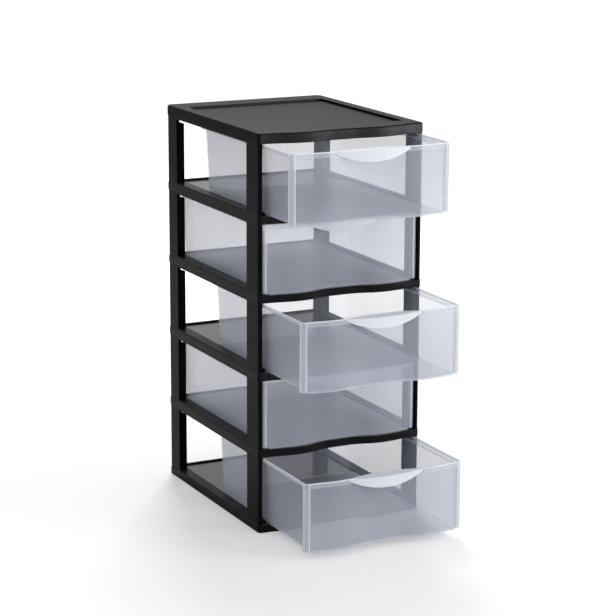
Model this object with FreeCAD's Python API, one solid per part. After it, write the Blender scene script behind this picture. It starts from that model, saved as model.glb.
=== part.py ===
import FreeCAD, Part
import math
import os

# Plastic drawer tower: five trays, ten side panels, a top cover and five sliding drawers.
# Lengths in millimetres. X is the width, Y the depth from front to back, Z is up.

Vector = FreeCAD.Vector
origin = Vector(0, 0, 0)
along_x = Vector(1, 0, 0)

# Overall sizes
tier_count = 5
tier_pitch = 118.0
cover_height = 15.5
front_half_width = 137.0
rear_half_width = 136.2
frame_depth = 339.0
cut_overrun = 1.0

# Posts and the plan corners that they carry
panel_width = 6.0
rear_corner_growth = 3.0
front_corner_radius = panel_width
rear_corner_radius = panel_width + rear_corner_growth
corner_reach = 3.0

# Front line of the trays, seen from above: level in the middle, out to a crest, back to the corner
tray_flat_half = 15.0
tray_crest_x = 70.0
tray_crest_reach = 9.8

# Front line of the top cover
cover_flat_half = 12.0
cover_crest_x = 61.0
cover_middle_reach = 10.0
cover_crest_reach = 13.9

# Trays
bar_height = 11.5
plate_thickness = 2.2
skirt_thickness = 2.4
bar_chamfer = 0.8
rib_thickness = 1.6
rib_spacing = 66.0
stop_setback = 12.0
stop_thickness = 2.2
stop_height = 2.7
stop_y = frame_depth - stop_setback

# Side panels
panel_inset = 0.8
sill_width = 17.5
sill_height = 2.7
sill_setback = 12.0
top_rail_height = 2.8
front_post_depth = 41.0
rear_post_depth = 40.0
window_front_y = front_post_depth
window_rear_y = frame_depth - rear_post_depth
rear_post_width = 14.0
notch_slope_height = 3.0
post_wall = 2.4
post_rib_thickness = 1.8
post_rib_count = 1

# Tongues that join the panels to the trays above and below
tongue_thickness = 2.2
tongue_clearance = 0.3
upper_tongue_height = 5.0
upper_tongue_length = 14.0
upper_tongue_front_y = 14.0
upper_tongue_rear_gap = 5.0
lower_tongue_height = 5.0
lower_tongue_length = 12.0
lower_tongue_front_y = 20.0
lower_tongue_rear_gap = 3.0
lower_tongue_setback = 12.4
upper_tongue_starts = [upper_tongue_front_y, window_rear_y + upper_tongue_rear_gap]
lower_tongue_starts = [lower_tongue_front_y, window_rear_y + lower_tongue_rear_gap]

# Top cover
cover_skirt = skirt_thickness
cover_plate = 2.4
cover_chamfer = 1.8
recess_depth = 4.0
recess_side_margin = 19.0
recess_front_y = 28.0
recess_rear_margin = 42.0
recess_corner_radius = 6.0

# Drawers
drawer_wall = 1.8
drawer_floor = 2.0
drawer_top_gap = 1.2
drawer_side_gap = 0.8
drawer_sill_gap = 1.0
drawer_post_gap = 0.3
drawer_stop_gap = 1.5
drawer_corner_radius = 7.0
drawer_rear_radius = 12.0
rim_band_height = 5.5
rim_overhang = 3.0
rim_notch_gap = 0.8
rim_start_y = 9.0
panel_lift = 1.8
panel_return_y = 10.0
rear_draft = 3.0
drawer_height = tier_pitch - bar_height - drawer_top_gap
drawer_lift = bar_height
# A drawer passes the front as it slides out, so its back takes the narrower end of the frame
narrow_half_width = min(front_half_width, rear_half_width)
rim_half_front = front_half_width - panel_width - drawer_side_gap
rim_half_rear = narrow_half_width - panel_width - drawer_side_gap
rim_rear_y = stop_y - drawer_stop_gap
wall_half_front = rim_half_front - rim_overhang
wall_half_rear = narrow_half_width - rear_post_width - drawer_post_gap
wall_rear_y = rim_rear_y - rim_overhang
floor_half_front = front_half_width - sill_width - drawer_sill_gap
floor_half_rear = narrow_half_width - sill_width - drawer_sill_gap
floor_rear_y = wall_rear_y - rear_draft

# Front line of the drawers
drawer_flat_half = 14.0
drawer_crest_x = 77.0
drawer_middle_setback = 5.0
drawer_crest_reach = 3.9
drawer_corner_setback = 0.2

# Crescent handle
visor_half_width = 63.0
visor_reach = 9.0
visor_end_reach = 3.0
visor_drop = 1.6
visor_thickness = 2.0
lip_thickness = 2.0
lip_depth = 18.4
lip_end_depth = 2.6

# How far each drawer stands open, from the top one down
drawer_pulls = [95.0, 0.0, 133.0, 0.0, 145.0]

side_slope = (front_half_width - rear_half_width) / frame_depth
tower_height = tier_count * tier_pitch + cover_height
front_limit = -(visor_reach + cover_crest_reach + cut_overrun)
tray_line = (tray_flat_half, tray_crest_x, 0.0, -tray_crest_reach, -corner_reach)
cover_line = (cover_flat_half, cover_crest_x, -cover_middle_reach, -cover_crest_reach, -corner_reach)
drawer_line = (drawer_flat_half, drawer_crest_x, drawer_middle_setback, -drawer_crest_reach,
               drawer_corner_setback)


def double_arc(start, end):
    """Two equal tangent arcs from one level point to another, joined half way."""
    run = end.x - start.x
    rise = end.y - start.y
    radius = (run * run + rise * rise) / (4 * abs(rise))
    middle = (start + end) / 2
    share = 0.25
    sag = radius - math.sqrt(radius * radius - (run * share) ** 2)
    bend = math.copysign(sag, rise)
    early = Vector(start.x + run * share, start.y + bend, start.z)
    late = Vector(end.x - run * share, end.y - bend, end.z)
    return [Part.Arc(start, early, middle).toShape(), Part.Arc(middle, late, end).toShape()]


def front_edges(line, half, radius, shift, z):
    """Front line from its left end to its right end, without the corners."""
    flat, crest_x, middle_y, crest_y, corner_y = line
    right = [Vector(flat, middle_y + shift, z), Vector(crest_x, crest_y + shift, z),
             Vector(half - radius, corner_y + shift, z)]
    left = [Vector(-point.x, point.y, z) for point in right]
    edges = double_arc(left[2], left[1]) + double_arc(left[1], left[0])
    edges.append(Part.makeLine(left[0], right[0]))
    return edges + double_arc(right[0], right[1]) + double_arc(right[1], right[2])


def corner_arc(center, radius, start_degrees, end_degrees):
    """Arc of a plan corner between two directions."""
    middle_degrees = (start_degrees + end_degrees) / 2
    spots = []
    for degrees in (start_degrees, middle_degrees, end_degrees):
        angle = math.radians(degrees)
        spots.append(center + Vector(radius * math.cos(angle), radius * math.sin(angle), 0))
    return Part.Arc(*spots).toShape()


def plan_wire(line, z, inset=0.0):
    """Closed plan outline of a tray or of the cover, with tapered sides and rounded corners."""
    front = front_half_width - inset
    rear = rear_half_width - inset
    back = frame_depth - inset
    front_round = front_corner_radius - inset
    rear_round = rear_corner_radius - inset
    front_center = Vector(front - front_round, line[-1] + inset + front_round, z)
    rear_center = Vector(rear - rear_round, back - rear_round, z)
    left_rear_center = Vector(-rear_center.x, rear_center.y, z)
    left_front_center = Vector(-front_center.x, front_center.y, z)
    edges = front_edges(line, front, front_round, inset, z)
    edges.append(corner_arc(front_center, front_round, -90, 0))
    edges.append(Part.makeLine(Vector(front, front_center.y, z), Vector(rear, rear_center.y, z)))
    edges.append(corner_arc(rear_center, rear_round, 0, 90))
    edges.append(Part.makeLine(Vector(rear_center.x, back, z), Vector(-rear_center.x, back, z)))
    edges.append(corner_arc(left_rear_center, rear_round, 90, 180))
    edges.append(Part.makeLine(Vector(-rear, rear_center.y, z), Vector(-front, front_center.y, z)))
    edges.append(corner_arc(left_front_center, front_round, 180, 270))
    return Part.Wire(edges)


def prism(wire, height):
    """Solid of a closed wire raised straight up."""
    return Part.Face(wire).extrude(Vector(0, 0, height))


def block(x_low, x_high, y_low, y_high, z_low, z_high):
    """Rectangular block between two corners."""
    return Part.makeBox(x_high - x_low, y_high - y_low, z_high - z_low, Vector(x_low, y_low, z_low))


def polygon_prism(corners, direction):
    """Solid of a closed polygon moved along a direction."""
    return Part.Face(Part.makePolygon(corners + corners[:1])).extrude(direction)


def frame_half(y):
    """Half width of the trays at a distance behind the front."""
    return front_half_width - side_slope * y


def side_strip(inner, outer, y_low, y_high, z_low, z_high):
    """Strip on the right side that follows the taper, between two distances from the outline."""
    corners = [Vector(frame_half(y_low) - outer, y_low, z_low),
               Vector(frame_half(y_low) - inner, y_low, z_low),
               Vector(frame_half(y_high) - inner, y_high, z_low),
               Vector(frame_half(y_high) - outer, y_high, z_low)]
    return polygon_prism(corners, Vector(0, 0, z_high - z_low))


def mirrored(shape):
    """The same shape on the other side of the middle."""
    return shape.mirror(origin, along_x)


def tray():
    """Shelf with a wavy front bar, a skirt, a solid floor plate and a low stop at the back."""
    body = prism(plan_wire(tray_line, 0.0), bar_height)
    top_edges = [edge for edge in body.Edges if edge.BoundBox.ZMin > bar_height - cut_overrun]
    body = body.makeChamfer(bar_chamfer, top_edges)
    hollow_height = bar_height - plate_thickness + cut_overrun
    body = body.cut(prism(plan_wire(tray_line, -cut_overrun, skirt_thickness), hollow_height))
    y = (frame_depth - rib_thickness) / 2
    ribs = [block(-front_half_width, front_half_width, y, y + rib_thickness, 0.0, bar_height)]
    for side in (-1, 0, 1):
        x = side * rib_spacing - rib_thickness / 2
        ribs.append(block(x, x + rib_thickness, front_limit, frame_depth, 0.0, bar_height))
    inside = prism(plan_wire(tray_line, 0.0, skirt_thickness), bar_height)
    body = body.fuse([rib.common(inside) for rib in ribs])
    stop_half = frame_half(stop_y) - sill_width - tongue_clearance
    stop = block(-stop_half, stop_half, stop_y, stop_y + stop_thickness,
                 bar_height, bar_height + stop_height)
    body = body.fuse(stop)
    for y in lower_tongue_starts:
        slot = tongue_block(lower_tongue_x(y), y, lower_tongue_length, tongue_clearance,
                            bar_height - plate_thickness - cut_overrun, bar_height + cut_overrun)
        body = body.cut([slot, mirrored(slot)])
    return body.removeSplitter()


def tongue_block(inner_x, start_y, length, growth, z_low, z_high):
    """Upright tongue that stands along the depth, grown on all sides for its slot."""
    return block(inner_x - growth, inner_x + tongue_thickness + growth, start_y - growth,
                 start_y + length + growth, z_low, z_high)


def lower_tongue_x(start_y):
    """Inner face of a lower tongue."""
    return frame_half(start_y) - lower_tongue_setback


def panel_section(z):
    """Plan section of a right side panel, without the parts that reach further in."""
    front_center = Vector(front_half_width - front_corner_radius, front_corner_radius - corner_reach, z)
    front_round = front_corner_radius - panel_inset
    rear_center = Vector(rear_half_width - rear_corner_radius, frame_depth - rear_corner_radius, z)
    rear_round = rear_corner_radius - panel_inset
    inner_rear_x = rear_half_width - panel_width
    edge_angle = math.degrees(math.acos((inner_rear_x - rear_center.x) / rear_round))
    front_arc = corner_arc(front_center, front_round, -90, 0)
    rear_arc = corner_arc(rear_center, rear_round, 0, edge_angle)
    side_front = Vector(front_center.x + front_round, front_center.y, z)
    side_rear = Vector(rear_center.x + rear_round, rear_center.y, z)
    front_end = Vector(front_center.x, front_center.y - front_round, z)
    rear_end = rear_arc.Vertexes[-1].Point
    return Part.Wire([front_arc, Part.makeLine(side_front, side_rear), rear_arc,
                      Part.makeLine(rear_end, front_end)])


def side_panel():
    """Right side panel: front post, rear post, sill and top rail round a window."""
    body = prism(panel_section(bar_height), tier_pitch - bar_height)
    body = body.fuse(rear_post())
    sill = side_strip(panel_inset, sill_width, sill_setback, frame_depth - rear_corner_radius,
                      bar_height, bar_height + sill_height)
    body = body.fuse(sill)
    body = body.cut(window_cutter())
    body = body.cut(post_hollows())
    tongues = []
    for y in upper_tongue_starts:
        outer_gap = skirt_thickness + tongue_clearance
        x = frame_half(y + upper_tongue_length) - outer_gap - tongue_thickness
        tongues.append(tongue_block(x, y, upper_tongue_length, 0.0, tier_pitch - top_rail_height,
                                    tier_pitch + upper_tongue_height))
    for y in lower_tongue_starts:
        tongues.append(tongue_block(lower_tongue_x(y), y, lower_tongue_length, 0.0,
                                    bar_height - lower_tongue_height, bar_height + sill_height))
    return body.fuse(tongues).removeSplitter()


def rear_post():
    """Inner part of the rear post, sloped off below the path of the drawer rim."""
    slope_top = drawer_lift + drawer_height - rim_band_height - rim_notch_gap
    slope_low = slope_top - notch_slope_height
    start = frame_half(window_rear_y)
    corners = [Vector(start - rear_post_width, window_rear_y, bar_height),
               Vector(start - post_wall, window_rear_y, bar_height),
               Vector(start - post_wall, window_rear_y, slope_top),
               Vector(start - panel_width, window_rear_y, slope_top),
               Vector(start - rear_post_width, window_rear_y, slope_low)]
    depth = frame_depth - rear_corner_radius + panel_inset - window_rear_y
    return polygon_prism(corners, Vector(-side_slope * depth, depth, 0))


def window_cutter():
    """Opening between the posts, through the whole panel."""
    return side_strip(-cut_overrun, sill_width + cut_overrun, window_front_y, window_rear_y,
                      bar_height + sill_height, tier_pitch - top_rail_height)


def post_hollows():
    """Hollows of both posts, open towards the drawer, with cross ribs left standing."""
    low_z = bar_height + sill_height
    high_z = tier_pitch - top_rail_height
    step = (high_z - low_z + post_rib_thickness) / (post_rib_count + 1)
    outer_gap = panel_inset + post_wall
    hollows = []
    for index in range(post_rib_count + 1):
        z_low = low_z + index * step
        z_high = z_low + step - post_rib_thickness
        hollows.append(side_strip(outer_gap, panel_width + cut_overrun,
                                  front_corner_radius - corner_reach,
                                  window_front_y - post_wall, z_low, z_high))
        hollows.append(side_strip(outer_gap, rear_post_width + cut_overrun,
                                  window_rear_y + post_wall,
                                  frame_depth - rear_corner_radius, z_low, z_high))
    return hollows


def top_cover():
    """Lid with a deep wavy front, a skirt and a shallow recess in its upper face."""
    base_z = tower_height - cover_height
    body = prism(plan_wire(cover_line, base_z), cover_height)
    top_edges = [edge for edge in body.Edges if edge.BoundBox.ZMin > tower_height - cut_overrun]
    body = body.makeChamfer(cover_chamfer, top_edges)
    low_z = tower_height - recess_depth - cover_plate
    inner = plan_wire(cover_line, base_z - cut_overrun, cover_skirt)
    body = body.cut(prism(inner, cover_height - recess_depth - cover_plate + cut_overrun))
    core = recess_solid(low_z, recess_depth, cover_plate)
    rim_space = prism(plan_wire(cover_line, low_z, cover_skirt), recess_depth)
    body = body.cut(rim_space.cut(core))
    recess = recess_solid(tower_height - recess_depth, recess_depth + cut_overrun, 0.0)
    return body.cut(recess).removeSplitter()


def recess_solid(z, height, growth):
    """Rounded tapered block that follows the recess of the cover, grown all round."""
    rear_y = frame_depth - recess_rear_margin
    half_front = frame_half(recess_front_y) - recess_side_margin + growth
    half_rear = frame_half(rear_y) - recess_side_margin + growth
    corners = [Vector(-half_front, recess_front_y - growth, z),
               Vector(half_front, recess_front_y - growth, z),
               Vector(half_rear, rear_y + growth, z),
               Vector(-half_rear, rear_y + growth, z)]
    solid = polygon_prism(corners, Vector(0, 0, height))
    upright = [edge for edge in solid.Edges if edge.BoundBox.ZLength > height / 2]
    return solid.makeFillet(recess_corner_radius + growth, upright)


def front_body(inset):
    """Deep block behind the wavy drawer front, with rounded front corners."""
    half = rim_half_front - inset
    radius = drawer_corner_radius - inset
    center = Vector(half - radius, drawer_line[-1] + inset + radius, 0)
    left_center = Vector(-center.x, center.y, 0)
    edges = front_edges(drawer_line, half, radius, inset, 0)
    edges.append(corner_arc(center, radius, -90, 0))
    edges.append(Part.makeLine(Vector(half, center.y, 0), Vector(half, frame_depth, 0)))
    edges.append(Part.makeLine(Vector(half, frame_depth, 0), Vector(-half, frame_depth, 0)))
    edges.append(Part.makeLine(Vector(-half, frame_depth, 0), Vector(-half, center.y, 0)))
    edges.append(corner_arc(left_center, radius, 180, 270))
    return prism(Part.Wire(edges), drawer_height)


def front_slab(inset, z_low, z_high):
    """Slab that holds the drawer front and its side returns."""
    return block(-front_half_width, front_half_width, front_limit, panel_return_y - inset,
                 z_low, z_high)


def tub_block(inset, z_low, z_high):
    """Drafted box of the drawer with rounded rear corners, run on forwards through its front."""
    low = tub_wire(floor_half_front, floor_half_rear, floor_rear_y, drawer_rear_radius, 0.0, inset)
    high = tub_wire(wall_half_front, wall_half_rear, wall_rear_y, drawer_rear_radius,
                    drawer_height, inset)
    solid = Part.makeLoft([low, high], True, True)
    return solid.common(block(-front_half_width, front_half_width, front_limit, frame_depth,
                              z_low, z_high))


def tub_wire(half_front, half_rear, rear_y, radius, z, inset):
    """Plan outline of the box at one height."""
    front = half_front - inset
    rear = half_rear - inset
    back = rear_y - inset
    rear_round = radius - inset
    center = Vector(rear - rear_round, back - rear_round, z)
    left_center = Vector(-center.x, center.y, z)
    edges = [Part.makeLine(Vector(-front, front_limit, z), Vector(front, front_limit, z)),
             Part.makeLine(Vector(front, front_limit, z), Vector(rear, center.y, z))]
    edges.append(corner_arc(center, rear_round, 0, 90))
    edges.append(Part.makeLine(Vector(center.x, back, z), Vector(-center.x, back, z)))
    edges.append(corner_arc(left_center, rear_round, 90, 180))
    edges.append(Part.makeLine(Vector(-rear, center.y, z), Vector(-front, front_limit, z)))
    return Part.Wire(edges)


def rim_block(inset, z_low, z_high):
    """Wider band along the upper edge of the sides and the back."""
    wire = tub_wire(rim_half_front, rim_half_rear, rim_rear_y, drawer_rear_radius + rim_overhang,
                    z_low, inset)
    behind_front = block(-front_half_width, front_half_width, rim_start_y, frame_depth,
                         z_low, z_high)
    return prism(wire, z_high - z_low).common(behind_front)


def crescent(inset, z_low, z_high):
    """Plan crescent of the handle, raised between two heights."""
    half = visor_half_width - inset
    back = drawer_middle_setback
    left = Vector(-half, -visor_end_reach, z_low)
    right = Vector(half, -visor_end_reach, z_low)
    middle = Vector(0, inset - visor_reach, z_low)
    back_right = Vector(half, back, z_low)
    back_left = Vector(-half, back, z_low)
    edges = [Part.Arc(left, middle, right).toShape(), Part.makeLine(right, back_right)]
    edges.append(Part.makeLine(back_right, back_left))
    edges.append(Part.makeLine(back_left, left))
    return Part.Face(Part.Wire(edges)).extrude(Vector(0, 0, z_high - z_low))


def handle():
    """Crescent handle: a sloping visor at the rim with a curved lip that hangs below it."""
    top = drawer_height
    bottom = top - lip_depth
    front = -(visor_reach + cut_overrun)
    depth = drawer_middle_setback - front
    side = visor_half_width + cut_overrun
    start = Vector(side, front, top - lip_end_depth)
    end = Vector(-side, front, top - lip_end_depth)
    high_right = Vector(side, front, top + cut_overrun)
    high_left = Vector(-side, front, top + cut_overrun)
    edges = [Part.Arc(end, Vector(0, front, bottom), start).toShape()]
    edges.append(Part.makeLine(start, high_right))
    edges.append(Part.makeLine(high_right, high_left))
    edges.append(Part.makeLine(high_left, end))
    elevation = Part.Face(Part.Wire(edges)).extrude(Vector(0, depth, 0))
    drop = visor_drop * depth / (drawer_middle_setback + visor_reach)
    solid = crescent(0.0, bottom, top).common(elevation).cut(visor_slab(top, drop, front, side))
    inner = crescent(lip_thickness, bottom - cut_overrun, top)
    inner = inner.cut(visor_slab(top - visor_thickness, drop, front, side))
    return solid, inner.cut(front_body(0.0))


def visor_slab(back_z, drop, front, side):
    """Space above a plane that falls towards the front."""
    back = drawer_middle_setback
    corners = [Vector(-side, back, back_z), Vector(-side, front, back_z - drop),
               Vector(-side, front, back_z + lip_depth), Vector(-side, back, back_z + lip_depth)]
    return polygon_prism(corners, Vector(side + side, 0, 0))


def drawer():
    """One open drawer with its front, drafted box, rim band and handle."""
    top = drawer_height
    band_z = top - rim_band_height
    outer = front_slab(0.0, panel_lift, top).fuse(tub_block(0.0, 0.0, top))
    outer = outer.common(front_body(0.0))
    outer = outer.fuse(rim_block(0.0, band_z, top))
    visor, gap = handle()
    outer = outer.fuse(visor)
    cavity = front_slab(drawer_wall, panel_lift + drawer_wall, top)
    cavity = cavity.fuse(tub_block(drawer_wall, drawer_floor, top))
    cavity = cavity.common(front_body(drawer_wall))
    cavity = cavity.fuse(rim_block(drawer_wall, band_z + drawer_wall, top))
    return outer.cut(cavity).cut(gap).removeSplitter()


def save(shape, name, lift, back=0.0):
    """Write one piece at its place, with the middle of the base at the origin."""
    piece = shape.copy()
    piece.translate(Vector(0, back - frame_depth / 2, lift))
    solids = piece.Solids
    print(name, "solids", len(solids), "valid", piece.isValid(), "volume", round(piece.Volume))
    if len(solids) == 1:
        piece = solids[0]
    piece.exportStep("parts/" + name + ".step")


def main():
    os.makedirs("parts", exist_ok=True)
    shelf = tray()
    right_panel = side_panel()
    left_panel = mirrored(right_panel)
    drawer_shape = drawer()
    save(top_cover(), "top_cover", 0.0)
    for index in range(tier_count):
        number = str(index + 1)
        lift = tower_height - cover_height - (index + 1) * tier_pitch
        if index == tier_count - 1:
            tray_name = "base_tray"
        else:
            tray_name = "shelf_tray_" + number
        save(shelf, tray_name, lift)
        save(right_panel, "side_panel_right_" + number, lift)
        save(left_panel, "side_panel_left_" + number, lift)
        save(drawer_shape, "drawer_" + number, lift + drawer_lift, -drawer_pulls[index])


main()
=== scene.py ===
import logging
import math
from dataclasses import dataclass, field
from enum import Enum

import bpy
import numpy as np
from mathutils import Matrix, Vector


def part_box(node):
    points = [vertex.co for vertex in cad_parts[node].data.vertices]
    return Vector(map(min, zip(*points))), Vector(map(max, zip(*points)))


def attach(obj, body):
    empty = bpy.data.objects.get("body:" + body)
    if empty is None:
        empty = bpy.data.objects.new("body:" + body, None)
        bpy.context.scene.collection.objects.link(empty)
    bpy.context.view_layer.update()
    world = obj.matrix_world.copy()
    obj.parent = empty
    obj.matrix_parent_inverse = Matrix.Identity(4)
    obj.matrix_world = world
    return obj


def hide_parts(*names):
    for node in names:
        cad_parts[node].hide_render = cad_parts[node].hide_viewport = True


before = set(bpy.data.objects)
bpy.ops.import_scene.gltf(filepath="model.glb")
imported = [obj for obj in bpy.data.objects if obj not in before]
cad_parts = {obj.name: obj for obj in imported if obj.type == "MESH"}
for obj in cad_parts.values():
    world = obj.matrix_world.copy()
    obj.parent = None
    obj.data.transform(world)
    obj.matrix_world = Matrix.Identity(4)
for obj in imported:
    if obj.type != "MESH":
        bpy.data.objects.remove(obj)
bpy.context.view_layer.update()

log = logging.getLogger("drawer_tower")
mm = 0.001
tier_count = 5


class Channel(Enum):
    """Axes that a pattern can be read along."""

    ACROSS = 0
    DEPTH = 1
    UP = 2


class Value:
    """One number socket of a shader, with the usual sums written as sums."""

    def __init__(self, tree: "Tree", socket: bpy.types.NodeSocket) -> None:
        """Keep the socket and the tree that it belongs to."""
        self.tree = tree
        self.socket = socket

    def _sum(self, operation: str, *numbers: "float | Value") -> "Value":
        """Add a Math node.

        Args:
            operation: name of the Math node's operation.
            numbers: its inputs, in order.

        Returns:
            The node's result.
        """
        return self.tree.node("ShaderNodeMath", {"operation": operation}, dict(enumerate(numbers)))

    def __add__(self, other: "float | Value") -> "Value":
        """This value plus another."""
        return self._sum("ADD", self, other)

    def __radd__(self, other: float) -> "Value":
        """A number plus this value."""
        return self._sum("ADD", other, self)

    def __sub__(self, other: "float | Value") -> "Value":
        """This value less another."""
        return self._sum("SUBTRACT", self, other)

    def __mul__(self, other: "float | Value") -> "Value":
        """This value times another."""
        return self._sum("MULTIPLY", self, other)

    def __abs__(self) -> "Value":
        """This value without its sign."""
        return self._sum("ABSOLUTE", self)

    def highest(self, other: "float | Value") -> "Value":
        """The larger of this value and another."""
        return self._sum("MAXIMUM", self, other)

    def ramp(self, low: float, high: float) -> "Value":
        """Smooth step of this value.

        Args:
            low: value at which the step is zero.
            high: value at which the step is one; it may be the lower number of the two.

        Returns:
            A value from zero to one.
        """
        settings = {"interpolation_type": "SMOOTHSTEP"}
        return self.tree.node("ShaderNodeMapRange", settings, {0: self, 1: low, 2: high})

    def band(self, center: float, half_width: float) -> "Value":
        """One at a value of this one and zero at a distance from it, with a soft slope between."""
        return abs(self - center).ramp(half_width, 0.0)


class Tree:
    """Node tree of one material, with one method that adds any node."""

    def __init__(self, name: str) -> None:
        """Start a material with its Principled shader.

        Args:
            name: name of the material.
        """
        self.material = bpy.data.materials.new(name)
        self.material.use_nodes = True
        self.nodes = self.material.node_tree.nodes
        self.links = self.material.node_tree.links
        self.shader = self.nodes["Principled BSDF"]

    def plug(self, socket: bpy.types.NodeSocket, value: object) -> None:
        """Give a socket a number, a colour or a link.

        Args:
            socket: input socket.
            value: plain value, a Value or another node's socket.
        """
        if isinstance(value, Value):
            value = value.socket
        if isinstance(value, bpy.types.NodeSocket):
            self.links.new(value, socket)
        else:
            socket.default_value = value

    def add(self, kind: str, settings: dict, inputs: dict) -> bpy.types.Node:
        """Add a node.

        Args:
            kind: type of the node.
            settings: its properties, set first.
            inputs: values or links by the socket's name or number.

        Returns:
            The node.
        """
        node = self.nodes.new(kind)
        for key, value in settings.items():
            setattr(node, key, value)
        for key, value in inputs.items():
            self.plug(node.inputs[key], value)
        return node

    def node(self, kind: str, settings: dict, inputs: dict, output: int | str = 0) -> Value:
        """Add a node and take one of its outputs as a value."""
        return Value(self, self.add(kind, settings, inputs).outputs[output])

    def place(self) -> bpy.types.NodeSocket:
        """Object coordinates in metres."""
        return self.add("ShaderNodeTexCoord", {}, {}).outputs["Object"]

    def axis(self, channel: Channel) -> Value:
        """Object coordinate along one axis, in metres."""
        return self.node("ShaderNodeSeparateXYZ", {}, {0: self.place()}, channel.value)

    def facing(self, channel: Channel) -> Value:
        """Share of the surface's own normal along one axis."""
        normal = self.add("ShaderNodeTexCoord", {}, {}).outputs["Normal"]
        return self.node("ShaderNodeSeparateXYZ", {}, {0: normal}, channel.value)

    def noise(self, scale: float, detail: float = 3.0, stretch: tuple = (1, 1, 1)) -> Value:
        """Cloudy pattern.

        Args:
            scale: waves in a metre.
            detail: number of finer layers.
            stretch: factor of each axis.

        Returns:
            A value around a half.
        """
        mapping = self.add("ShaderNodeMapping", {}, {"Vector": self.place(), "Scale": stretch})
        inputs = {"Vector": mapping.outputs[0], "Scale": scale, "Detail": detail}
        return self.node("ShaderNodeTexNoise", {}, inputs)

    def blend(self, share: "Value | float", first: object, second: object) -> bpy.types.NodeSocket:
        """Mix of two colours.

        Args:
            share: share of the second colour.
            first: colour or socket.
            second: colour or socket.

        Returns:
            The mixed colour's socket.
        """
        mix = self.add("ShaderNodeMix", {"data_type": "RGBA"}, {"Factor": share})
        self.plug(mix.inputs[6], first)
        self.plug(mix.inputs[7], second)
        return mix.outputs[2]

    def bump(self, height: Value, strength: float, distance: float) -> None:
        """Let a height pattern shape the shader's normal."""
        inputs = {"Height": height, "Strength": strength, "Distance": distance}
        bump = self.add("ShaderNodeBump", {}, inputs)
        self.links.new(bump.outputs[0], self.shader.inputs["Normal"])

    def surface(self, **inputs: object) -> None:
        """Set the shader's own sockets, by names with underscores for spaces."""
        for key, value in inputs.items():
            self.plug(self.shader.inputs[key.replace("_", " ")], value)


@dataclass(frozen=True)
class MouldedBlack:
    """Satin black plastic with a fine moulded grain, faint flow clouds, and level faces lightened by
    a painted sheen with dust specks.

    Attributes:
        name: name of the material.
        level_roughness: roughness of the level faces and of the glossy coat.
        gloss: strength of the plain reflection on every face.
        shine: weight of the glossy coat on the level faces.
        front_shine: weight of the glossy coat on the faces that look forward.
    """

    name: str
    level_roughness: float
    gloss: float
    shine: float
    front_shine: float
    dark: tuple = (0.0028, 0.0029, 0.0036, 1)
    pale: tuple = (0.0048, 0.0050, 0.0062, 1)
    # Lighter grey of the painted sheen on level faces, with dust specks in it.
    dust_and_sheen: tuple = (0.018, 0.018, 0.0200, 1)
    roughness: float = 0.27
    grain_scale: float = 1500.0
    grain_depth: float = 0.00005

    def build(self) -> bpy.types.Material:
        """Build the node tree.

        Returns:
            The material.
        """
        tree = Tree(self.name)
        clouds = tree.noise(9.0, 4.0, (1, 1, 2.2))
        grain = tree.noise(self.grain_scale, 2.0)
        specks = tree.noise(240.0, 2.0).ramp(0.62, 0.8)
        colour = tree.blend(clouds.ramp(0.3, 0.75), self.dark, self.pale)
        level = tree.facing(Channel.UP).ramp(0.6, 1.0)
        ahead = tree.facing(Channel.DEPTH).ramp(-0.6, -1.0)
        # Painted sheen: level faces are blended toward a lighter grey, more where dust specks fall.
        colour = tree.blend(level * (0.4 + specks * 0.3), colour, self.dust_and_sheen)
        base = self.roughness + level * (self.level_roughness - self.roughness)
        roughness = base + clouds * 0.05 + grain * 0.03
        tree.surface(Base_Color=colour, Roughness=roughness, Specular_IOR_Level=self.gloss,
                     Coat_Weight=level * self.shine + ahead * self.front_shine,
                     Coat_Roughness=self.level_roughness)
        tree.bump(grain + clouds * 0.2, 0.3, self.grain_depth)
        return tree.material


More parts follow.
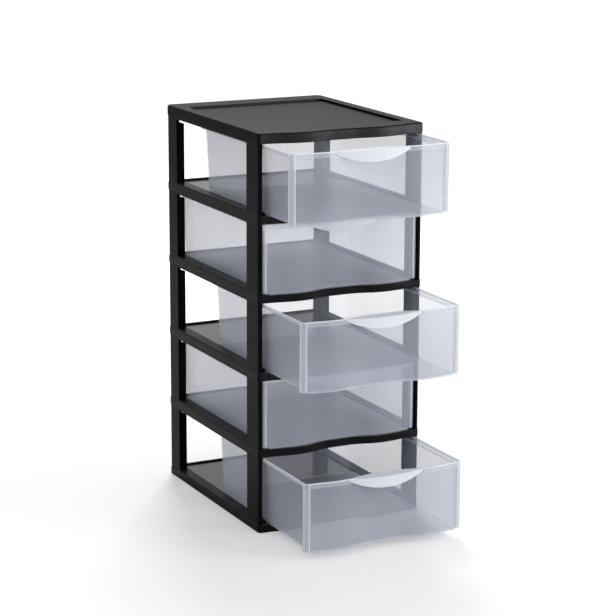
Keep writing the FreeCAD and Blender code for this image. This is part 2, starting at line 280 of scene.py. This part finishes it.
@dataclass(frozen=True)
class FrostedClear:
    """Milky see-through plastic, denser along its rim, its corners and its foot, with painted
    highlight lines there in a whiter colour.

    Attributes:
        name: name of the material.
        lift: height of the drawer's underside.
        front: place of the drawer's front line.
        height: height of the drawer.
        half_width: half of the width at the rim.
        corner_radius: round of the front corners.
        thin: cover of a plain stretch of one surface.
        thick: cover where light gathers along an edge.
        body: colour of a plain stretch.
        edge: whiter colour of the painted highlight along an edge.
    """

    name: str
    lift: float
    front: float
    height: float
    half_width: float
    corner_radius: float
    thin: float = 0.29
    thick: float = 0.85
    body: tuple = (0.56, 0.60, 0.70, 1)
    edge: tuple = (0.93, 0.96, 1.0, 1)
    rim_depths: tuple = (9.0 * mm, 7.0 * mm)
    lip_depths: tuple = (2.2 * mm, 0.9 * mm)
    ahead_depths: tuple = (12.0 * mm, 8.0 * mm)
    foot_heights: tuple = (5.0 * mm, 1.5 * mm)
    side_depths: tuple = (1.2 * mm, 0.3 * mm)
    corner_blur: float = 1.0 * mm
    line_offset: float = 0.5 * mm
    line_half_width: float = 1.6 * mm
    lip_share: float = 0.95
    line_share: float = 0.8
    corner_share: float = 0.35
    foot_share: float = 0.3
    rim_share: float = 0.28

    def build(self) -> bpy.types.Material:
        """Build the node tree.

        Returns:
            The material.
        """
        tree = Tree(self.name)
        up = tree.axis(Channel.UP) - self.lift
        across = abs(tree.axis(Channel.ACROSS))
        depth = tree.axis(Channel.DEPTH) - self.front
        rim = up.ramp(*[self.height - below for below in self.rim_depths])
        lip = up.ramp(*[self.height - below for below in self.lip_depths])
        turn = self.half_width - self.corner_radius
        ahead = depth.ramp(*self.ahead_depths)
        front_line = across.band(turn + self.line_offset, self.line_half_width) * ahead
        side_line = across.ramp(*[self.half_width - inside for inside in self.side_depths]) * ahead
        corner = across.ramp(turn - self.corner_blur, turn + self.corner_blur) * ahead
        foot = up.ramp(*self.foot_heights)
        # Mask of the edges: it paints a highlight there in the whiter edge colour and also makes the
        # plastic denser.
        edge_highlight_and_density = lip * self.lip_share
        edge_highlight_and_density = edge_highlight_and_density.highest(front_line * self.line_share).highest(side_line * self.line_share)
        edge_highlight_and_density = edge_highlight_and_density.highest(corner * self.corner_share).highest(foot * self.foot_share)
        edge_highlight_and_density = edge_highlight_and_density.highest(rim * self.rim_share)
        haze = tree.noise(7.0, 3.0, (1, 1, 0.6))
        grain = tree.noise(1900.0, 2.0)
        cover = self.thin + (haze - 0.5) * 0.05 + edge_highlight_and_density * (self.thick - self.thin)
        # Painted highlight: the body colour turns to the whiter edge colour along the rim, lip,
        # corners and foot.
        colour = tree.blend(edge_highlight_and_density, self.body, self.edge)
        roughness = 0.25 + haze * 0.12 + grain * 0.04
        tree.surface(Base_Color=colour, Roughness=roughness, Alpha=cover, IOR=1.49)
        tree.bump(grain + haze * 0.5, 0.2, 0.00004)
        return tree.material


@dataclass(frozen=True)
class FrostedGrip:
    """Denser plastic of the handle, which is seen through its lip and its visor, in a whiter colour
    that paints the highlight of its brightly lit face.
    """

    name: str
    cover: float = 0.72
    # Whiter colour: a painted highlight of the lit handle over the drawer's own milky tone.
    pale: tuple = (0.92, 0.95, 1.0, 1)

    def build(self) -> bpy.types.Material:
        """Build the node tree.

        Returns:
            The material.
        """
        tree = Tree(self.name)
        haze = tree.noise(12.0, 3.0)
        # The pale colour here paints the handle's highlight.
        tree.surface(Base_Color=self.pale, Roughness=0.24 + haze * 0.1,
                     Alpha=self.cover + (haze - 0.5) * 0.08, IOR=1.49)
        tree.bump(tree.noise(1900.0, 2.0), 0.2, 0.00004)
        return tree.material


@dataclass(frozen=True)
class Wave:
    """Front line seen from above: level in the middle, out to a crest and back to a level corner."""

    flat: float
    crest_x: float
    middle: float
    crest: float
    corner: float

    def depth(self, x: np.ndarray, end: float) -> np.ndarray:
        """Distance of the line behind zero.

        Each stretch between two level points is a pair of equal arcs that meet half way:
        their radius is (run squared plus rise squared) over four times the rise.

        Args:
            x: places to the right of the middle.
            end: place where the line is level again, before the corner.

        Returns:
            The y of each place.
        """
        inner = self._double_arc(x, self.flat, self.crest_x, self.middle, self.crest)
        outer = self._double_arc(x, self.crest_x, end, self.crest, self.corner)
        return np.where(x < self.crest_x, inner, outer)

    @staticmethod
    def _double_arc(x: np.ndarray, x0: float, x1: float, y0: float, y1: float) -> np.ndarray:
        """Pair of equal tangent arcs between two level points."""
        run = x1 - x0
        rise = y1 - y0
        radius = (run * run + rise * rise) / (4 * abs(rise))
        sign = math.copysign(1.0, rise)
        near = np.clip(x - x0, 0, run / 2)
        far = np.clip(x1 - x, 0, run / 2)
        start = y0 + sign * (radius - np.sqrt(radius * radius - near * near))
        stop = y1 - sign * (radius - np.sqrt(radius * radius - far * far))
        return np.where(x - x0 < run / 2, start, stop)


@dataclass
class Grid:
    """Points of a surface in rows, turned into a mesh."""

    name: str
    rows: np.ndarray

    def build(self) -> bpy.types.Object:
        """Make an object of closed rows joined by quads, with a cap on the first and last row.

        Returns:
            The object, linked to the scene.
        """
        count, width, _ = self.rows.shape
        index = np.arange(count * width).reshape(count, width)
        here = index[:-1]
        above = index[1:]
        quads = np.stack([here, np.roll(here, -1, 1), np.roll(above, -1, 1), above], axis=-1)
        faces = quads.reshape(-1, 4).tolist()
        faces.append(index[0][::-1].tolist())
        faces.append(index[-1].tolist())
        mesh = bpy.data.meshes.new(self.name)
        mesh.from_pydata(self.rows.reshape(-1, 3).tolist(), [], faces)
        mesh.validate()
        piece = bpy.data.objects.new(self.name, mesh)
        bpy.context.scene.collection.objects.link(piece)
        return piece


@dataclass(frozen=True)
class SoftEdge:
    """Small round that a mould leaves along every sharp edge."""

    width: float
    segments: int = 2
    angle: float = math.radians(32)

    def add(self, piece: bpy.types.Object) -> None:
        """Add the round as a modifier and smooth the faces beside it.

        Args:
            piece: mesh piece.
        """
        piece.data.shade_smooth()
        bevel = piece.modifiers.new("soft_edge", "BEVEL")
        bevel.width = self.width
        bevel.segments = self.segments
        bevel.limit_method = "ANGLE"
        bevel.angle_limit = self.angle
        bevel.use_clamp_overlap = True
        bevel.harden_normals = True

    def add_to_solid(self, piece: bpy.types.Object) -> None:
        """Join the loose triangles of a solid into flat faces first, all as modifiers."""
        weld = piece.modifiers.new("weld", "WELD")
        weld.merge_threshold = 0.00001
        flat = piece.modifiers.new("flat_faces", "DECIMATE")
        flat.decimate_type = "DISSOLVE"
        flat.angle_limit = math.radians(0.6)
        self.add(piece)
        normals = piece.modifiers.new("even_shading", "WEIGHTED_NORMAL")
        normals.weight = 100
        normals.mode = "FACE_AREA"


def dress(piece: bpy.types.Object, material: bpy.types.Material) -> None:
    """Give a piece one material.

    Args:
        piece: mesh piece.
        material: its finish.
    """
    piece.data.materials.clear()
    piece.data.materials.append(material)


@dataclass
class Frame:
    """Trays, side panels and lid of black plastic: solids of the frame with softened edges."""

    panels: MouldedBlack = MouldedBlack("panel_black", level_roughness=0.27, gloss=0.04, shine=0.1,
                                         front_shine=0.0)
    trays: MouldedBlack = MouldedBlack("tray_black", level_roughness=0.16, gloss=0.06, shine=1.0,
                                        front_shine=0.22)
    lid: MouldedBlack = MouldedBlack("lid_black", level_roughness=0.4, gloss=0.03, shine=0.02,
                                      front_shine=0.8)
    edge: SoftEdge = field(default_factory=lambda: SoftEdge(0.5 * mm))

    def finishes(self) -> dict[MouldedBlack, list[str]]:
        """Names of the frame's nodes by their finish."""
        numbers = range(1, tier_count + 1)
        panels = [f"side_panel_{side}_{number}" for side in ("left", "right") for number in numbers]
        trays = [f"shelf_tray_{number}" for number in numbers[:-1]] + ["base_tray"]
        return {self.panels: panels, self.trays: trays, self.lid: ["top_cover"]}

    def build(self) -> None:
        """Dress every node of the frame."""
        for finish, names in self.finishes().items():
            material = finish.build()
            for name in names:
                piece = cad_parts[name]
                dress(piece, material)
                self.edge.add_to_solid(piece)
                log.info("dressed %s", name)


@dataclass
class Drawer:
    """One drawer: a drafted tub, a wavy front, a wider rim band and a crescent handle."""

    number: int
    wall: float = 1.8 * mm
    floor: float = 2.0 * mm
    panel_lift: float = 1.8 * mm
    panel_return: float = 10.0 * mm
    rim_band: float = 5.5 * mm
    corner_radius: float = 7.0 * mm
    rear_radius: float = 12.0 * mm
    rim_overhang: float = 3.0 * mm
    taper_start: float = -23.9 * mm
    rim_half: tuple = (130.2 * mm, 129.4 * mm)
    tub_half_low: tuple = (118.5 * mm, 117.7 * mm)
    tub_half_high: tuple = (127.2 * mm, 121.9 * mm)
    rear_rim: float = 325.5 * mm
    rear_high: float = 322.5 * mm
    rear_low: float = 319.5 * mm
    wave: Wave = Wave(14 * mm, 77 * mm, 5.0 * mm, -3.9 * mm, 0.2 * mm)
    visor_half: float = 63.0 * mm
    visor_front: float = -9.0 * mm
    visor_end: float = -3.0 * mm
    visor_drop: float = 1.6 * mm
    visor_thickness: float = 2.0 * mm
    lip_depth: float = 18.4 * mm
    lip_end_depth: float = 2.6 * mm
    root_sink: float = 0.5 * mm
    running_gap: float = 0.05 * mm
    tip_trim: float = 2.2 * mm
    edge_margin: float = 0.6 * mm
    lip_margin: float = 0.3 * mm
    top_margin: float = 0.05 * mm
    least_visor: float = 1.0 * mm
    front_points: int = 46
    drop_points: int = 16
    turn_points: int = 12
    side_points: int = 12
    back_points: int = 6
    wall_rows: int = 7
    handle_sections: int = 57
    edge: SoftEdge = field(default_factory=lambda: SoftEdge(0.45 * mm, 3))

    def __post_init__(self) -> None:
        """Take the drawer's place and height from its solid."""
        low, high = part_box(f"drawer_{self.number}")
        self.lift = low[2]
        self.height = high[2] - low[2]
        self.front = low[1] - self.visor_front

    def loop(self, z: float, inset: float, rim: bool, narrow: bool) -> np.ndarray:
        """Closed plan line of the drawer at one height.

        The right half runs from the middle of the front along the wave, round the front corner,
        along the return, in to the side wall, back to the rounded rear corner and to the middle
        of the back; the left half is its mirror image.

        Args:
            z: height above the bottom of the drawer.
            inset: distance inside the outer surface.
            rim: whether the sides are at the rim band.
            narrow: whether the front is only as wide as the tub, as below the panel.

        Returns:
            Points in order, counter-clockwise from above.
        """
        share = z / self.height
        tub = [a + (b - a) * share - inset for a, b in zip(self.tub_half_low, self.tub_half_high)]
        rear = self.rear_low + (self.rear_high - self.rear_low) * share - inset
        rear_round = self.rear_radius - inset
        if rim:
            tub = [half - inset for half in self.rim_half]
            rear = self.rear_rim - inset
            rear_round = self.rear_radius + self.rim_overhang - inset
        panel = self.rim_half[0] - inset
        corner = self.corner_radius - inset
        back = self.panel_return - inset
        slope = (tub[0] - tub[1]) / (rear - rear_round - self.taper_start)
        at_return = tub[0] - slope * (back - self.taper_start)
        end = panel - corner
        if narrow:
            x = np.linspace(0, tub[0] + slope * self.taper_start, self.front_points)
            y = self.wave.depth(x, end) + inset
            down = np.linspace(y[-1], back, self.drop_points)[1:]
            side = np.stack([np.interp(down, [y[-1], back], [x[-1], at_return]), down], 1)
            front = np.concatenate([np.stack([x, y], 1), side])
        else:
            x = np.linspace(0, end, self.front_points)
            y = self.wave.depth(x, end) + inset
            turn = np.radians(np.linspace(-90, 0, self.turn_points))[1:]
            arc = np.stack([end + corner * np.cos(turn), y[-1] + corner + corner * np.sin(turn)], 1)
            straight = np.stack([np.full(2, panel), np.linspace(arc[-1, 1], back, 3)[1:]], 1)
            inward = np.stack([np.linspace(panel, at_return, 3)[1:], np.full(2, back)], 1)
            front = np.concatenate([np.stack([x, y], 1), arc, straight, inward])
        side_end = np.array([tub[1], rear - rear_round])
        lengths = np.linspace(0, 1, self.side_points)[1:, None]
        side = front[-1] + (side_end - front[-1]) * lengths
        turn = np.radians(np.linspace(0, 90, self.turn_points))[1:]
        middle = np.array([side_end[0] - rear_round, side_end[1]])
        bend = middle + rear_round * np.stack([np.cos(turn), np.sin(turn)], 1)
        widths = np.linspace(0, 1, self.back_points)[1:, None]
        across = bend[-1] + (np.array([0, rear]) - bend[-1]) * widths
        right = np.concatenate([front, side, bend, across])
        left = right[-2:0:-1] * [-1, 1]
        plan = np.concatenate([right, left])
        return np.column_stack([plan, np.full(len(plan), z)])

    def shell_rows(self) -> np.ndarray:
        """Rows of the shell: up the outside, over the rim and down the inside to the floor.

        Returns:
            Array of rows by points by coordinates, at the drawer's place.
        """
        band = self.height - self.rim_band
        inner_lift = self.panel_lift + self.wall
        stations = [(z, 0.0, False, True) for z in (self.running_gap, self.panel_lift)]
        outside = np.linspace(self.panel_lift, band, self.wall_rows)
        stations += [(z, 0.0, False, False) for z in outside]
        stations += [(z, 0.0, True, False) for z in (band, self.height)]
        stations += [(z, self.wall, True, False) for z in (self.height, band + self.wall)]
        inside = np.linspace(band + self.wall, inner_lift, self.wall_rows)
        stations += [(z, self.wall, False, False) for z in inside]
        stations += [(z, self.wall, False, True) for z in (inner_lift, self.floor)]
        rows = np.stack([self.loop(*station) for station in stations])
        return rows + [0, self.front, self.lift]

    def handle_rows(self) -> np.ndarray:
        """Cross-sections of the handle from its left tip to its right tip.

        Seen from above the edge is one arc through both ends and the middle, seen from the front
        the lower edge is another; each section runs out along the visor, down the lip and back.

        Returns:
            Array of sections by points by coordinates, at the drawer's place.
        """
        tip = self.visor_half - self.tip_trim
        x = tip * np.sin(np.linspace(-np.pi / 2, np.pi / 2, self.handle_sections))
        end = self.rim_half[0] - self.corner_radius
        wall = self.wave.depth(np.abs(x), end) + self.root_sink
        edge = self.chord(x, self.visor_end, self.visor_front)
        edge = np.minimum(edge, wall - self.edge_margin)
        hang = self.chord(x, self.lip_end_depth, self.lip_depth)
        fall = self.visor_drop * (wall - edge) / (wall.max() - self.visor_front)
        inner = np.minimum(edge + self.visor_thickness, wall - self.lip_margin)
        top = self.height - self.top_margin
        under = np.minimum(top - self.visor_thickness - fall, top - self.least_visor)
        foot = np.minimum(top - hang, under - self.lip_margin)
        ys = np.stack([wall, wall, inner, inner, edge, edge], 1)
        zs = np.stack([np.full_like(x, top), np.full_like(x, top - self.visor_thickness), under,
                       foot, foot, top - fall], 1)
        xs = np.repeat(x[:, None], 6, 1)
        return np.stack([xs, ys, zs], -1) + [0, self.front, self.lift]

    def chord(self, x: np.ndarray, end: float, middle: float) -> np.ndarray:
        """Arc through an end value at both tips of the handle and a middle value at its centre."""
        rise = middle - end
        radius = (self.visor_half ** 2 + rise * rise) / (2 * abs(rise))
        fall = radius - np.sqrt(radius * radius - x * x)
        return middle - math.copysign(1.0, rise) * fall

    def build(self) -> None:
        """Build the shell and the handle, dress them and let them ride on their body."""
        node = f"drawer_{self.number}"
        shell = Grid(f"{node}_shell", self.shell_rows()).build()
        handle = Grid(f"{node}_handle", self.handle_rows()).build()
        clear = FrostedClear(f"{node}_frosted", self.lift, self.front, self.height,
                             self.rim_half[0], self.corner_radius)
        dress(shell, clear.build())
        dress(handle, FrostedGrip(f"{node}_grip").build())
        for piece in (shell, handle):
            self.edge.add(piece)
            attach(piece, f"{node}_body")
            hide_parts(node)
            log.info("built %s", piece.name)


@dataclass(frozen=True)
class Lamp:
    """Square soft lamp that looks at the middle of the object.

    Attributes:
        name: name of the lamp.
        place: its place.
        size: its side.
        power: its power in watts.
        aim: the place that it looks at.
    """

    name: str
    place: tuple
    size: float
    power: float
    aim: tuple = (0, 0, 0.3)

    def build(self) -> None:
        """Hang the lamp."""
        light = bpy.data.lights.new(self.name, "AREA")
        light.size = self.size
        light.energy = self.power
        lamp = bpy.data.objects.new(self.name, light)
        turn = (Vector(self.aim) - Vector(self.place)).to_track_quat("-Z", "Y")
        lamp.matrix_world = Matrix.Translation(self.place) @ turn.to_matrix().to_4x4()
        bpy.context.scene.collection.objects.link(lamp)


@dataclass
class Room:
    """Plain pale floor, white surroundings, soft lamps and the camera."""

    camera_place: tuple = (-1.4736, -2.9738, 1.0787)
    yaw: float = 0.4684
    pitch: float = 0.23104
    roll: float = 0.00439
    focal_pixels: float = 2174.6
    image_pixels: float = 616.0
    sensor: float = 36.0
    sky: float = 0.5
    mirrored: float = 0.55
    near_glow: float = 0.26
    far_glow: float = 0.62
    glow_reach: tuple = (0.4, 1.7)
    floor_half: float = 16.0
    floor_colour: tuple = (0.87, 0.87, 0.875, 1)
    lamps: tuple = (Lamp("key", (2.2, -2.2, 0.95), 1.7, 44.0),
                    Lamp("rear", (0.8, 1.9, 2.4), 0.9, 44.0),
                    Lamp("fill", (-1.6, -1.8, 2.8), 1.8, 10.0))

    def floor(self) -> None:
        """Lay a wide floor that stays white away from the object's shadow."""
        corners = np.array([[-1, -1, 0], [1, -1, 0], [1, 1, 0], [-1, 1, 0]]) * self.floor_half
        mesh = bpy.data.meshes.new("floor")
        mesh.from_pydata(corners.tolist(), [], [(0, 1, 2, 3)])
        plane = bpy.data.objects.new("floor", mesh)
        bpy.context.scene.collection.objects.link(plane)
        tree = Tree("floor_pale")
        path = tree.add("ShaderNodeLightPath", {}, {})
        seen = Value(tree, path.outputs["Is Camera Ray"])
        seen = seen.highest(Value(tree, path.outputs["Is Transmission Ray"]))
        away = tree.node("ShaderNodeVectorMath", {"operation": "LENGTH"}, {0: tree.place()}, 1)
        glow = self.near_glow + away.ramp(*self.glow_reach) * (self.far_glow - self.near_glow)
        tree.surface(Base_Color=self.floor_colour, Roughness=0.8, Specular_IOR_Level=0.1,
                     Emission_Color=(1, 1, 1, 1), Emission_Strength=seen * glow)
        dress(plane, tree.material)

    def world(self) -> None:
        """White for the camera, softer in reflections and as a light."""
        world = bpy.data.worlds.new("studio")
        bpy.context.scene.world = world
        world.use_nodes = True
        nodes = world.node_tree.nodes
        links = world.node_tree.links
        path = nodes.new("ShaderNodeLightPath")
        strength = None
        for ray, level in (("Is Glossy Ray", self.mirrored), ("Is Transmission Ray", 1.0),
                           ("Is Camera Ray", 1.0)):
            mix = nodes.new("ShaderNodeMix")
            mix.inputs[2].default_value = self.sky
            mix.inputs[3].default_value = level
            links.new(path.outputs[ray], mix.inputs[0])
            if strength:
                links.new(strength, mix.inputs[2])
            strength = mix.outputs[0]
        background = nodes["Background"]
        background.inputs["Color"].default_value = (1, 1, 1, 1)
        links.new(strength, background.inputs["Strength"])

    def camera(self) -> None:
        """Put the camera where the photograph was taken from."""
        forward = Vector((math.sin(self.yaw) * math.cos(self.pitch),
                          math.cos(self.yaw) * math.cos(self.pitch), -math.sin(self.pitch)))
        side = forward.cross(Vector((0, 0, 1))).normalized()
        up = side.cross(forward)
        right = side * math.cos(self.roll) + up * math.sin(self.roll)
        up = right.cross(forward)
        data = bpy.data.cameras.new("camera")
        data.sensor_width = self.sensor
        data.lens = self.focal_pixels / self.image_pixels * self.sensor
        data.clip_end = 60.0
        camera = bpy.data.objects.new("camera", data)
        turn = Matrix((right, up, -forward)).transposed().to_4x4()
        camera.matrix_world = Matrix.Translation(self.camera_place) @ turn
        bpy.context.scene.collection.objects.link(camera)
        bpy.context.scene.camera = camera

    def build(self) -> None:
        """Build the whole room."""
        bpy.context.scene.view_settings.view_transform = "Standard"
        self.floor()
        self.world()
        for lamp in self.lamps:
            lamp.build()
        self.camera()


def main() -> None:
    """Build the frame, the drawers and the room."""
    logging.basicConfig(level=logging.INFO)
    Frame().build()
    for number in range(1, tier_count + 1):
        Drawer(number).build()
    Room().build()


if __name__ == "__main__":
    main()
